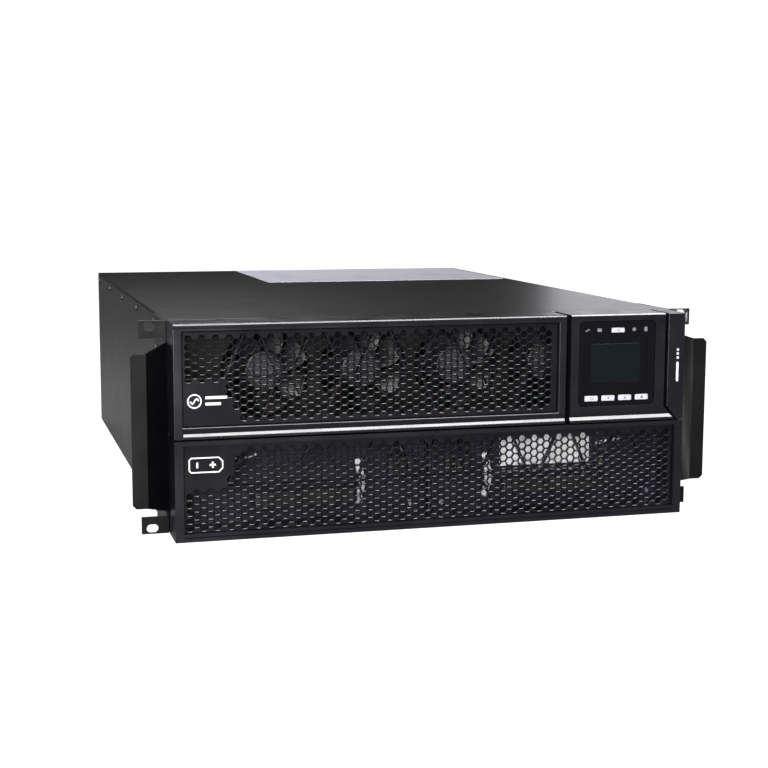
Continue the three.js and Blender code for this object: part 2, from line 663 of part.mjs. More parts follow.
function packSocket() {
  const [x0, x1, z0, z1] = PACK_SOCKET;
  const flange = box(x0 - 3, x1 + 3, PANEL + GAP, PANEL + 3, z0 - 3, z1 + 3);
  const body = box(x0 + GAP, x1 - GAP, PANEL - 30, PANEL + 6, z0 + GAP, z1 - GAP);
  const slots = [x0 + 18, x1 - 21].map((x) => box(x, x + 3.5, PANEL - 10, PANEL + 8, z0 + 7, z1 - 7));
  return cut(join(flange, body), ...slots);
}

function groundStud() {
  const shank = rodY(STUD.shank, PANEL_INNER - 8, PANEL + 9, STUD.x, STUD.z, 16);
  const nut = alongY(regular(STUD.x, STUD.z, 5, 6), PANEL + GAP, PANEL + 4);
  return join(shank, nut);
}

add('terminal_cover', terminalCover(), LOOK.case());
add('cable_gland', cableGland(), LOOK.dark());
add('input_breaker', breakerBody(), LOOK.dark());
add('breaker_button', rodY(4.8, PANEL - 10, PANEL + 7, RESET.x, RESET.z), LOOK.button());
add('network_card', cardPlate(), LOOK.case());
add('port_plate', portPlate(), LOOK.case());
add('external_battery_socket', packSocket(), LOOK.grey());
add('ground_stud', groundStud(), LOOK.brass());

// ---------------------------------------------------------------- label on the top cover
add('top_label', box(-56, 214, EAR + 397, REAR - 2, BODY_HEIGHT, BODY_HEIGHT + 0.25), LOOK.label());

export default ups;
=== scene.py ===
"""Looks of a four-unit rack-mount UPS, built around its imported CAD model.

Lengths in the outlines below are in millimetres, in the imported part's frame: X to the
viewer's right, Y from the front bezels to the rear panel, Z up. Places come from the
boxes of the CAD nodes.
"""
import json
import math

import bmesh
import bpy
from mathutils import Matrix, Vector
from mathutils.geometry import delaunay_2d_cdt


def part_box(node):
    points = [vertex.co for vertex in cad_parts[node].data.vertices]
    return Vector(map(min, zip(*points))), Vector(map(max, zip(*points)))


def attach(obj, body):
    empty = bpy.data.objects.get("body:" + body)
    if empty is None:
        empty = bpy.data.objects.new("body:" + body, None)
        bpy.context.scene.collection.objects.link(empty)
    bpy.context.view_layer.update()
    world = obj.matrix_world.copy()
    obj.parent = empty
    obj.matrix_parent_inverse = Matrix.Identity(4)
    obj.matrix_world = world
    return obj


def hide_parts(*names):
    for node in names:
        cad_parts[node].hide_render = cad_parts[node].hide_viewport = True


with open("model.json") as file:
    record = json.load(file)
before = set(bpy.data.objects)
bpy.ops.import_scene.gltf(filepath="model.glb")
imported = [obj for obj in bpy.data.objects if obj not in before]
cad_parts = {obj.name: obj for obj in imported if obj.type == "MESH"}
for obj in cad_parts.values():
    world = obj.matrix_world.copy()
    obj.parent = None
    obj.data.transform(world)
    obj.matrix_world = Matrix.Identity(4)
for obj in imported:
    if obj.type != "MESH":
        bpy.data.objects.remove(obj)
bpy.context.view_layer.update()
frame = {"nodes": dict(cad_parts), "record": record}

MM = 0.001
ROOT = "enclosure"
LOWER = "lower_bezel"


def box_mm(node):
    """The lowest and highest corners of a CAD node, in millimetres."""
    low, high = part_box(node)
    return Vector(low) / MM, Vector(high) / MM


CASE_LOW, CASE_HIGH = box_mm("chassis_tray")
COVER_HIGH = box_mm("top_cover")[1]
UPPER_LOW, UPPER_HIGH = box_mm("upper_bezel_frame")
FRONT = UPPER_LOW.y
EAR = CASE_LOW.y

# ------------------------------------------------------------------ materials


class Look:
    """A Principled material with helpers for its procedural nodes."""

    def __init__(self, name, color, roughness=0.5, metallic=0.0, **sockets):
        self.material = bpy.data.materials.new(name)
        self.material.use_nodes = True
        self.tree = self.material.node_tree
        self.shader = self.tree.nodes["Principled BSDF"]
        self.set("Base Color", (*color, 1.0))
        self.set("Roughness", roughness)
        self.set("Metallic", metallic)
        for socket, value in sockets.items():
            self.set(socket.replace("_", " "), value)
        self.place = self.node("ShaderNodeTexCoord").outputs["Object"]

    def set(self, socket, value):
        self.shader.inputs[socket].default_value = value

    def node(self, kind, **settings):
        made = self.tree.nodes.new(kind)
        for key, value in settings.items():
            setattr(made, key, value)
        return made

    def link(self, a, b):
        self.tree.links.new(a, b)

    def noise(self, scale, detail=2.0, stretch=(1, 1, 1)):
        """Noise with about `scale` features to the metre."""
        mapping = self.node("ShaderNodeMapping")
        mapping.inputs["Scale"].default_value = stretch
        self.link(self.place, mapping.inputs["Vector"])
        made = self.node("ShaderNodeTexNoise")
        made.inputs["Scale"].default_value = scale
        made.inputs["Detail"].default_value = detail
        self.link(mapping.outputs["Vector"], made.inputs["Vector"])
        return made.outputs["Fac"]

    def ramp(self, value, stops):
        made = self.node("ShaderNodeValToRGB")
        elements = made.color_ramp.elements
        while len(elements) < len(stops):
            elements.new(0.5)
        for element, (position, color) in zip(elements, stops):
            element.position = position
            element.color = (*color, 1.0)
        self.link(value, made.inputs["Fac"])
        return made.outputs["Color"]

    def spread(self, value, low, high, start=0.3, end=0.7):
        """Maps a noise value to the range low to high."""
        made = self.node("ShaderNodeMapRange")
        for socket, number in (("From Min", start), ("From Max", end), ("To Min", low), ("To Max", high)):
            made.inputs[socket].default_value = number
        self.link(value, made.inputs["Value"])
        return made.outputs["Result"]

    def tint(self, value, dark, light, start=0.3, end=0.7):
        self.link(self.ramp(value, [(start, dark), (end, light)]), self.shader.inputs["Base Color"])
        return self

    def rough(self, value, low, high):
        self.link(self.spread(value, low, high), self.shader.inputs["Roughness"])
        return self

    def bump(self, *layers):
        """Bump from layers of (height value, strength, depth in millimetres)."""
        normal = None
        for value, strength, depth in layers:
            made = self.node("ShaderNodeBump")
            made.inputs["Strength"].default_value = strength
            made.inputs["Distance"].default_value = depth * MM
            self.link(value, made.inputs["Height"])
            if normal:
                self.link(normal, made.inputs["Normal"])
            normal = made.outputs["Normal"]
        self.link(normal, self.shader.inputs["Normal"])
        return self


def scaled(color, factor):
    return tuple(min(1.0, c * factor) for c in color)


def textured(name, color, rough, grain, depth, metallic=0.0, drift=0.25, gloss=0.05, **sockets):
    """Paint or moulded plastic: fine grain in the bump, slow drift in colour and gloss."""
    look = Look(name, color, rough, metallic, **sockets)
    slow = look.noise(9, 4)
    fine = look.noise(grain, 3)
    look.tint(slow, scaled(color, 1 - drift), scaled(color, 1 + drift))
    look.rough(look.noise(35, 5), rough - gloss, rough + gloss)
    look.bump((fine, 0.35, depth))
    return look.material


BLACK = (0.0042, 0.0037, 0.0068)
case_paint = textured("case_paint", (0.0028, 0.0028, 0.0036), 0.3, 1400, 0.002, drift=0.06, gloss=0.012)
ear_paint = textured("ear_paint", (0.002, 0.0019, 0.0027), 0.34, 1600, 0.008, drift=0.08,
                     Specular_IOR_Level=0.32)
bezel_plastic = textured("bezel_plastic", BLACK, 0.3, 2300, 0.012, drift=0.1)
mesh_paint = textured("mesh_paint", (0.0028, 0.0025, 0.0045), 0.32, 2600, 0.008, drift=0.1,
                      Specular_IOR_Level=0.36)
black_moulding = textured("black_moulding", (0.012, 0.012, 0.013), 0.45, 2600, 0.03)
fan_plastic = textured("fan_plastic", (0.014, 0.014, 0.016), 0.4, 2600, 0.02)
grey_moulding = textured("grey_moulding", (0.11, 0.11, 0.12), 0.5, 2600, 0.03)
battery_shell = textured("battery_shell", (0.01, 0.009, 0.022), 0.42, 1500, 0.04)
key_plastic = textured("key_plastic", (0.62, 0.62, 0.68), 0.42, 3000, 0.01, drift=0.06)
strap_plastic = textured("strap_plastic", (0.78, 0.78, 0.8), 0.45, 2500, 0.02, drift=0.05)
print_white = textured("print_white", (0.82, 0.82, 0.84), 0.5, 3500, 0.01, drift=0.04)
print_grey = textured("print_grey", (0.2, 0.2, 0.23), 0.5, 3500, 0.01, drift=0.06)
hub_film = textured("hub_film", (0.045, 0.045, 0.052), 0.45, 3000, 0.01, drift=0.1)
capacitor_sleeve = textured("capacitor_sleeve", (0.012, 0.02, 0.05), 0.3, 900, 0.02)
copper_winding = textured("copper_winding", (0.45, 0.16, 0.05), 0.35, 700, 0.2, metallic=0.9)


def zinc():
    look = Look("zinc_sheet", (0.45, 0.46, 0.48), 0.38, 1.0)
    spangle = look.node("ShaderNodeTexVoronoi")
    spangle.inputs["Scale"].default_value = 160
    look.link(look.place, spangle.inputs["Vector"])
    look.tint(spangle.outputs["Distance"], (0.36, 0.37, 0.39), (0.5, 0.51, 0.53), 0.1, 0.7)
    look.rough(look.noise(300, 3, (1, 8, 1)), 0.3, 0.48)
    return look.material


def alloy():
    look = Look("heatsink_alloy", (0.6, 0.61, 0.63), 0.35, 1.0)
    draw = look.noise(900, 3, (1, 0.02, 1))
    look.rough(draw, 0.28, 0.45)
    look.bump((draw, 0.3, 0.02))
    return look.material


def solder_mask():
    look = Look("circuit_board", (0.008, 0.09, 0.035), 0.35)
    tracks = look.node("ShaderNodeTexBrick")
    tracks.inputs["Scale"].default_value = 90
    tracks.inputs["Color1"].default_value = (0.006, 0.075, 0.03, 1)
    tracks.inputs["Color2"].default_value = (0.008, 0.085, 0.034, 1)
    tracks.inputs["Mortar"].default_value = (0.02, 0.16, 0.07, 1)
    tracks.inputs["Mortar Size"].default_value = 0.012
    look.link(look.place, tracks.inputs["Vector"])
    look.link(tracks.outputs["Color"], look.shader.inputs["Base Color"])
    look.rough(look.noise(120, 3), 0.28, 0.45)
    return look.material


def smoked_glass():
    look = Look("display_gloss", (0.0022, 0.002, 0.0042), 0.12, Specular_IOR_Level=0.3)
    look.rough(look.noise(45, 4), 0.05, 0.12)
    look.tint(look.noise(20, 2), (0.002, 0.0018, 0.0038), (0.0026, 0.0024, 0.0047))
    return look.material


def lcd_face():
    """A liquid-crystal panel that is off: dark teal, with its fine dot grid."""
    look = Look("lcd_face", (0.003, 0.0055, 0.0075), 0.22, Specular_IOR_Level=0.3)
    grid = look.node("ShaderNodeTexBrick", offset=0.0)
    grid.inputs["Scale"].default_value = 900
    grid.inputs["Brick Width"].default_value = 0.5
    grid.inputs["Row Height"].default_value = 0.5
    grid.inputs["Mortar Size"].default_value = 0.04
    grid.inputs["Color1"].default_value = (0.0032, 0.006, 0.008, 1)
    grid.inputs["Color2"].default_value = (0.003, 0.0055, 0.0075, 1)
    grid.inputs["Mortar"].default_value = (0.0022, 0.004, 0.0055, 1)
    look.link(look.place, grid.inputs["Vector"])
    look.link(grid.outputs["Color"], look.shader.inputs["Base Color"])
    look.rough(look.noise(60, 3), 0.18, 0.27)
    return look.material


def label_film(name, paper, blotch_a, blotch_b):
    """White label film with pale, wordless blotches of colour."""
    look = Look(name, paper, 0.42)
    first = look.ramp(look.noise(24, 3), [(0.5, paper), (0.68, blotch_a)])
    second = look.ramp(look.noise(17, 3, (1.3, 0.8, 1)), [(0.5, (1, 1, 1)), (0.7, blotch_b)])
    mix = look.node("ShaderNodeMix", data_type="RGBA", blend_type="MULTIPLY")
    mix.inputs["Factor"].default_value = 1.0
    look.link(first, mix.inputs[6])
    look.link(second, mix.inputs[7])
    look.link(mix.outputs[2], look.shader.inputs["Base Color"])
    look.rough(look.noise(80, 3), 0.36, 0.5)
    look.bump((look.noise(500, 2), 0.2, 0.02))
    return look.material


def brass():
    look = Look("brass", (0.62, 0.43, 0.17), 0.3, 1.0)
    look.rough(look.noise(400, 3, (1, 0.1, 1)), 0.24, 0.42)
    look.tint(look.noise(60, 3), (0.52, 0.35, 0.13), (0.68, 0.49, 0.2))
    return look.material


def screw_steel():
    look = Look("screw_black", (0.03, 0.03, 0.033), 0.32, 0.7)
    look.rough(look.noise(700, 3), 0.25, 0.45)
    look.tint(look.noise(200, 3), (0.02, 0.02, 0.024), (0.045, 0.045, 0.05))
    return look.material


zinc_sheet = zinc()
heatsink_alloy = alloy()
circuit_board = solder_mask()
display_gloss = smoked_glass()
lcd_surface = lcd_face()
top_film = label_film("top_label_film", (0.72, 0.71, 0.78), (0.62, 0.66, 0.76), (0.95, 0.9, 0.97))
battery_film = label_film("battery_label_film", (0.93, 0.93, 0.94), (0.86, 0.88, 0.92), (0.98, 0.97, 0.98))
brass_metal = brass()
screw_black = screw_steel()

# ------------------------------------------------------------------ mesh building


class Piece:
    """Collects closed forms in millimetres, then becomes one object on one body."""

    def __init__(self):
        self.bm = bmesh.new()

    def plate(self, outline, low, high, holes=(), axis="Y", rim=0.0, back=0.0, steps=2):
        """An outline with holes, pushed from low to high along an axis.

        Loops are anticlockwise and run in the other two axes, in X, Y, Z order. The edges
        are rounded by rim at the low end and by back at the high end.
        """
        at = {
            "X": lambda a, b, d: (d, a, b), "Y": lambda a, b, d: (a, d, b), "Z": lambda a, b, d: (a, b, d),
        }[axis]
        turns = [math.pi / 2 * k / steps for k in range(steps + 1)]
        levels, ends = [(low, 0.0)], [(high, 0.0)]
        if rim:
            levels = [(low + rim * (1 - math.cos(t)), rim * (1 - math.sin(t))) for t in turns]
        if back:
            ends = [(high - back * (1 - math.cos(t)), back * (1 - math.sin(t))) for t in turns]
        levels += reversed(ends)
        layers = []
        for depth, inset in levels:
            loops = [offset(outline, -inset)] + [offset(hole, inset) for hole in holes]
            layers.append([[self.bm.verts.new(at(x, y, depth)) for x, y in loop] for loop in loops])
            if depth == levels[0][0]:
                first = loops
        for lower, upper in zip(layers, layers[1:]):
            for one, two in zip(lower, upper):
                self.bridge(one, two)
        self.cap(first, layers[0])
        self.cap(loops, layers[-1])
        return self

    def cap(self, loops, rings):
        """Triangles across a flat outline, leaving its holes open."""
        corners = [Vector(p) for loop in loops for p in loop]
        verts = [v for ring_of in rings for v in ring_of]
        faces, start = [], 0
        for loop in loops:
            faces.append(list(range(start, start + len(loop))))
            start += len(loop)
        made = delaunay_2d_cdt(corners, [], faces, 2, 1e-7)
        for triangle in made[2]:
            self.bm.faces.new([verts[made[3][i][0]] for i in triangle])

    def box(self, x0, x1, y0, y1, z0, z1, rim=0.0, back=0.0):
        return self.plate([(x0, z0), (x1, z0), (x1, z1), (x0, z1)], y0, y1, (), "Y", rim, back)

    def lathe(self, centre, axis, profile, steps=24, turn=0.0):
        """Rings of (radius, height) about an axis through centre, closed on the axis."""
        u, v = {"X": ("Y", "Z"), "Y": ("Z", "X"), "Z": ("X", "Y")}[axis]
        ways = {"X": Vector((1, 0, 0)), "Y": Vector((0, 1, 0)), "Z": Vector((0, 0, 1))}
        rings = []
        for radius, height in profile:
            middle = Vector(centre) + ways[axis] * height
            if radius == 0:
                rings.append([self.bm.verts.new(middle)])
                continue
            ring = []
            for i in range(steps):
                angle = turn + 2 * math.pi * i / steps
                out = ways[u] * math.cos(angle) + ways[v] * math.sin(angle)
                ring.append(self.bm.verts.new(middle + out * radius))
            rings.append(ring)
        for low, high in zip(rings, rings[1:]):
            self.bridge(low, high)
        return self

    def bridge(self, low, high):
        if len(low) == 1 and len(high) == 1:
            return
        count = max(len(low), len(high))
        for i in range(count):
            j = (i + 1) % count
            corners = [low[i % len(low)], low[j % len(low)], high[j % len(high)], high[i % len(high)]]
            self.bm.faces.new(list(dict.fromkeys(corners)))

    def sweep(self, points, radius, steps=10):
        """A round bar along points, with flat ends."""
        points = [Vector(p) for p in points]
        rings = []
        side = None
        for i, point in enumerate(points):
            ahead = points[min(i + 1, len(points) - 1)] - points[max(i - 1, 0)]
            ahead.normalize()
            if side is None:
                side = ahead.orthogonal().normalized()
            side = (side - ahead * side.dot(ahead)).normalized()
            other = ahead.cross(side)
            ring = []
            for k in range(steps):
                angle = 2 * math.pi * k / steps
                out = side * math.cos(angle) + other * math.sin(angle)
                ring.append(self.bm.verts.new(point + out * radius))
            rings.append(ring)
        return self.close(rings)

    def loft(self, loops):
        """A closed form through loops of X, Y, Z points."""
        return self.close([[self.bm.verts.new(point) for point in loop] for loop in loops])

    def close(self, rings):
        for low, high in zip(rings, rings[1:]):
            self.bridge(low, high)
        self.bm.faces.new(rings[0])
        self.bm.faces.new(rings[-1])
        return self

    def bevel(self, width, steps=2, angle=30.0):
        """Rounds every edge sharper than the angle."""
        bmesh.ops.remove_doubles(self.bm, verts=self.bm.verts, dist=1e-4)
        flat = math.radians(0.6)
        bmesh.ops.dissolve_limit(self.bm, angle_limit=flat, verts=self.bm.verts, edges=self.bm.edges)
        limit = math.radians(angle)
        sharp = [e for e in self.bm.edges if e.is_manifold and e.calc_face_angle(0) > limit]
        bmesh.ops.bevel(
            self.bm, geom=sharp, offset=width, offset_type="OFFSET", segments=steps,
            profile=0.5, affect="EDGES", clamp_overlap=True,
        )
        return self

    def finish(self, name, look, body=ROOT, slot=None, replaces=(), smooth=35.0):
        bmesh.ops.remove_doubles(self.bm, verts=self.bm.verts, dist=1e-5)
        bmesh.ops.recalc_face_normals(self.bm, faces=self.bm.faces)
        bmesh.ops.scale(self.bm, vec=(MM, MM, MM), verts=self.bm.verts)
        mesh = bpy.data.meshes.new(name)
        self.bm.to_mesh(mesh)
        self.bm.free()
        mesh.materials.append(look)
        shade(mesh, smooth)
        piece = bpy.data.objects.new(name, mesh)
        bpy.context.scene.collection.objects.link(piece)
        weighted = piece.modifiers.new("even_shading", "WEIGHTED_NORMAL")
        weighted.keep_sharp = True
        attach(piece, body)
        if replaces:
            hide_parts(*replaces)
        return piece


def shade(mesh, angle):
    for polygon in mesh.polygons:
        polygon.use_smooth = True
    mesh.set_sharp_from_angle(angle=math.radians(angle))


def offset(loop, amount):
    """An anticlockwise loop with each side moved out by the amount."""
    if not amount:
        return list(loop)
    out = []
    for i, (x, y) in enumerate(loop):
        ax, ay = loop[i - 1]
        bx, by = loop[(i + 1) % len(loop)]
        before, after = math.hypot(x - ax, y - ay), math.hypot(bx - x, by - y)
        n1 = ((y - ay) / before, (ax - x) / before)
        n2 = ((by - y) / after, (x - bx) / after)
        reach = amount / (1 + n1[0] * n2[0] + n1[1] * n2[1])
        out.append((x + reach * (n1[0] + n2[0]), y + reach * (n1[1] + n2[1])))
    return out


def ring(cx, cy, radius, sides, turn=0.0):
    steps = [turn + 2 * math.pi * i / sides for i in range(sides)]
    return [(cx + radius * math.cos(a), cy + radius * math.sin(a)) for a in steps]


def rounded(x0, x1, y0, y1, radius, steps=5):
    """A rectangle with round corners, anticlockwise."""
    corners = [(x1 - radius, y0 + radius, -90), (x1 - radius, y1 - radius, 0),
               (x0 + radius, y1 - radius, 90), (x0 + radius, y0 + radius, 180)]
    out = []
    for cx, cy, start in corners:
        for i in range(steps + 1):
            angle = math.radians(start + 90 * i / steps)
            out.append((cx + radius * math.cos(angle), cy + radius * math.sin(angle)))
    return out


def from_cad(node):
    """A Piece that starts as a copy of a CAD node's mesh."""
    piece = Piece()
    piece.bm.from_mesh(frame["nodes"][node].data)
    bmesh.ops.scale(piece.bm, vec=(1 / MM,) * 3, verts=piece.bm.verts)
    return piece


slots = {entry["node"]: entry["material_slot"] for entry in frame["record"]["subparts"]}
node_body = {node: body for body, nodes in frame["record"]["behaviour"]["bodies"].items() for node in nodes}


def refine(node, look, width=0.5, steps=2, angle=30.0, smooth=35.0):
    """Replaces a CAD node by the same shape with rounded edges."""
    piece = from_cad(node).bevel(width, steps, angle)
    return piece.finish(node + "_finished", look, node_body[node], slots[node], (node,), smooth)


# ------------------------------------------------------------------ screws


def plus(cx, cy, reach, half):
    """The outline of a cross, anticlockwise."""
    quarter = [(reach, -half), (reach, half), (half, half)]
    out = []
    for k in range(4):
        c, s = round(math.cos(math.pi / 2 * k)), round(math.sin(math.pi / 2 * k))
        out += [(cx + c * a - s * b, cy + s * a + c * b) for a, b in quarter]
    return out


def screws(name, places, axis="Y", out=-1, radius=2.6, look=None, body=ROOT, slot="case_paint"):
    """Pan-head screws with a cross recess, seated at X, Y, Z and facing out along the axis."""
    piece = Piece()
    for x, y, z in places:
        a, b, seat = {"X": (y, z, x), "Y": (x, z, y), "Z": (x, y, z)}[axis]
        low, high = sorted((seat, seat + out * radius * 0.6))
        edge = {"rim": radius * 0.2} if out < 0 else {"back": radius * 0.2}
        piece.plate(ring(a, b, radius, 20), low, high, [plus(a, b, radius * 0.5, radius * 0.13)], axis, **edge)
        low, high = sorted((seat, seat + out * radius * 0.2))
        piece.plate(ring(a, b, radius * 0.7, 12), low, high, (), axis)
    return piece.finish(name, look or screw_black, body, slot)


# ------------------------------------------------------------------ case and ears
refine("chassis_tray", case_paint, 0.5)
refine("top_cover", case_paint, 0.5)
refine("ear_left", ear_paint, 0.45)
refine("ear_right", ear_paint, 0.45)

SIDE = CASE_HIGH.x
EAR_FACE = SIDE + 0.3 + 2.0
cover_rows = [EAR + 80 + 125 * i for i in range(5)]
ear_rows = [(EAR + 16, z) for z in (28, 87, 146)] + [(EAR + 46, z) for z in (28, 87, 146)]
for side, sign in (("left", -1), ("right", 1)):
    screws(f"cover_screws_{side}", [(sign * SIDE, y, COVER_HIGH.z - 8) for y in cover_rows], "X", sign, 2.4)
    screws(f"ear_screws_{side}", [(sign * EAR_FACE, y, z) for y, z in ear_rows], "X", sign, 3.4)

# ------------------------------------------------------------------ bezels


def line_groove(piece, z, width, depth):
    """A fine V-shaped line along the front face of a bezel."""
    for height in (z - width / 2, z, z + width / 2):
        everything = [*piece.bm.verts, *piece.bm.edges, *piece.bm.faces]
        bmesh.ops.bisect_plane(
            piece.bm, geom=everything, dist=1e-5, plane_co=(0, 0, height), plane_no=(0, 0, 1))
    for vert in piece.bm.verts:
        if abs(vert.co.z - z) < 1e-3 and vert.co.y < FRONT + 0.1:
            vert.co.y += depth
    return piece


TOP_LINE = UPPER_HIGH.z - 4.1
for node in ("upper_bezel_frame", "display_bezel"):
    piece = from_cad(node).bevel(0.6, 3, 28)
    line_groove(piece, TOP_LINE, 0.9, 0.5)
    piece.finish(node + "_finished", bezel_plastic, ROOT, "bezel_plastic", (node,))
refine("side_column", bezel_plastic, 0.7, 3, 28)
refine("lower_bezel_frame", bezel_plastic, 0.6, 3, 28)

# The perforated panels: flat-topped hexagons, a quarter of an inch apart.
PITCH = 6.35
COLUMN = PITCH * math.sqrt(3) / 2
HOLE = 5.15 / math.sqrt(3)
LIP = 0.45
MARGIN = 0.9
SHEET = 2.0
ZIGZAG = {"first": 56.1, "pitch": 53.6, "near": 5.5, "far": 21.2, "half": 0.75}


def ribs(piece, low, high):
    """A zigzag of thin ribs behind a panel, with one along its middle."""
    front, back = low.y + SHEET - 0.4, high.y
    middle, half = (low.z + high.z) / 2, ZIGZAG["half"]
    piece.box(low.x + 1, high.x - 1, front, back, middle - half, middle + half, 0, 0.3)
    x = low.x + ZIGZAG["first"]
    while x + ZIGZAG["far"] < high.x - 4:
        for side in (-1, 1):
            near, far = x + side * ZIGZAG["near"], x + side * ZIGZAG["far"]
            for end in (low.z + 0.8, high.z - 0.8):
                run = [(near - half, end), (near + half, end), (far + half, middle), (far - half, middle)]
                if end > middle:
                    run.reverse()
                piece.plate(run, front, back, back=0.3)
        x += ZIGZAG["pitch"]


def hex_panel(name, node, first, keep, body):
    low, high = box_mm(node)
    half = HOLE * math.sqrt(3) / 2
    holes = []
    for c in range(int((high.x - low.x) / COLUMN) + 2):
        for r in range(-1, int((high.z - low.z) / PITCH) + 2):
            x = first[0] + c * COLUMN
            z = first[1] + r * PITCH + (PITCH / 2 if c % 2 else 0)
            inside = low.x + MARGIN < x - HOLE and x + HOLE < high.x - MARGIN
            inside = inside and low.z + MARGIN < z - half and z + half < high.z - MARGIN
            if inside and keep(x, z):
                holes.append(ring(x, z, HOLE, 6))
    outline = [(low.x, low.z), (high.x, low.z), (high.x, high.z), (low.x, high.z)]
    piece = Piece().plate(outline, low.y, low.y + SHEET, holes, rim=LIP, steps=1)
    ribs(piece, low, high)
    return piece.finish(name, mesh_paint, body, slots[node], (node,), smooth=20)


# Each panel has a plain corner patch beside the seam, with a slanted right-hand end.
MESH_LEFT = box_mm("upper_mesh")[0].x
MESH_FACE = box_mm("upper_mesh")[0].y
UPPER_FLOOR = box_mm("upper_mesh")[0].z
LOWER_CEILING = box_mm("lower_mesh")[1].z
PATCH = {"short": 31.5, "long": 49.5, "tall": 37.0}


def off_patch(x, rise):
    """Whether a point clears the patch, at a height measured away from the seam."""
    edge = PATCH["long"] - (PATCH["long"] - PATCH["short"]) * min(rise, PATCH["tall"]) / PATCH["tall"]
    return rise > PATCH["tall"] or x > MESH_LEFT + edge


FIRST_COLUMN = MESH_LEFT + 5.0
hex_panel("upper_mesh_fine", "upper_mesh", (FIRST_COLUMN, 98.25),
          lambda x, z: off_patch(x, z - UPPER_FLOOR), ROOT)
hex_panel("lower_mesh_fine", "lower_mesh", (FIRST_COLUMN, 10.4),
          lambda x, z: off_patch(x, LOWER_CEILING - z), LOWER)

# ------------------------------------------------------------------ printed marks
INK = 0.04


def stroke(points, width):
    """The outline of an open line of constant width, anticlockwise."""
    left, right = [], []
    for i, (x, y) in enumerate(points):
        ax, ay = points[max(i - 1, 0)]
        bx, by = points[min(i + 1, len(points) - 1)]
        length = math.hypot(bx - ax, by - ay)
        nx, ny = (ay - by) / length * width / 2, (bx - ax) / length * width / 2
        left.append((x + nx, y + ny))
        right.append((x - nx, y - ny))
    return right + left[::-1]


def printed(name, face, shapes, look, body, slot="label_film"):
    """Ink on a face that looks to the front; each shape is an outline or (outline, hole)."""
    piece = Piece()
    for shape in shapes:
        outline, holes = shape if isinstance(shape, tuple) else (shape, [])
        piece.plate(outline, face - INK, face, holes)
    return piece.finish(name, look, body, slot)


def maker_mark():
    """A generic mark: a wave in a ring, beside two plain bars."""
    cx, cz = MESH_LEFT + 9.6, UPPER_FLOOR + 20.2
    wave = [(cx + 3.4 * k / 8, cz + 1.9 * math.sin(math.pi * k / 8)) for k in range(-8, 9)]
    shapes = [(ring(cx, cz, 5.8, 40), [ring(cx, cz, 4.7, 40)]), stroke(wave, 1.2)]
    for rise, reach in ((1.4, 17.5), (-3.6, 12.5)):
        shapes.append(rounded(cx + 8.6, cx + 8.6 + reach, cz + rise, cz + rise + 2.3, 0.6, 3))
    return printed("upper_panel_mark", MESH_FACE, shapes, print_white, ROOT)


def battery_mark():
    """A plain battery outline with its minus and plus ends."""
    x0, x1, z0, z1 = MESH_LEFT + 4.2, MESH_LEFT + 32.0, LOWER_CEILING - 22.4, LOWER_CEILING - 9.6
    nose, wall = 3.4, 1.15
    middle = (z0 + z1) / 2
    body = [(x0 + 2, z0), (x1 - nose, z0), (x1, z0 + nose), (x1, z1 - nose), (x1 - nose, z1), (x0 + 2, z1)]
    body += [(x0, z1 - 2), (x0, z0 + 2)]
    shapes = [(body, [offset(body, -wall)])]
    shapes.append(rounded(x0 + 6.2, x0 + 7.7, middle - 2.3, middle + 2.3, 0.3, 2))
    shapes.append(plus(x1 - 8.5, middle, 2.5, 0.75))
    return printed("battery_mark", MESH_FACE, shapes, print_white, LOWER)


def column_mark():
    """Plain ticks along the column in place of its lettering."""
    low, high = box_mm("side_column")
    x, z = high.x - 6.4, high.z - 59
    shapes = [rounded(x - 1.1, x + 1.1, z, z + 17, 1.0, 4)]
    shapes += [rounded(x - 1.1, x + 1.1, z + 19.5 + 3.4 * k, z + 21.7 + 3.4 * k, 1.0, 4) for k in range(3)]
    return printed("column_mark", low.y, shapes, print_white, ROOT)


maker_mark()
battery_mark()
column_mark()

# ------------------------------------------------------------------ display
GLASS_LOW, GLASS_HIGH = box_mm("display_glass")
LCD_LOW, LCD_HIGH = box_mm("lcd_module")
KEYS = [f"menu_button_{k}" for k in range(1, 5)] + ["power_button"]
PIP_LOW, PIP_HIGH = box_mm("indicator_light_pipe")
KEY_COLLAR = 1.0
KEY_PLAY = 0.3


def cap_box(node):
    """The face of a key cap, without the collar behind it, as x0, x1, z0, z1."""
    low, high = box_mm(node)
    return low.x + KEY_COLLAR, high.x - KEY_COLLAR, low.z + KEY_COLLAR, high.z - KEY_COLLAR


def display_window():
    window = rounded(LCD_LOW.x + 1, LCD_HIGH.x + 0.2, LCD_LOW.z, LCD_HIGH.z + 1, 1.2, 4)
    holes = [window]
    for node in KEYS:
        x0, x1, z0, z1 = cap_box(node)
        holes.append(rounded(x0 - KEY_PLAY, x1 + KEY_PLAY, z0 - KEY_PLAY, z1 + KEY_PLAY, 1.0, 3))
    outline = rounded(GLASS_LOW.x, GLASS_HIGH.x, GLASS_LOW.z, GLASS_HIGH.z, 3.7, 6)
    piece = Piece().plate(outline, GLASS_LOW.y, GLASS_HIGH.y, holes, rim=0.25)
    return piece.finish("display_window", display_gloss, ROOT, "display_gloss", ("display_glass",))


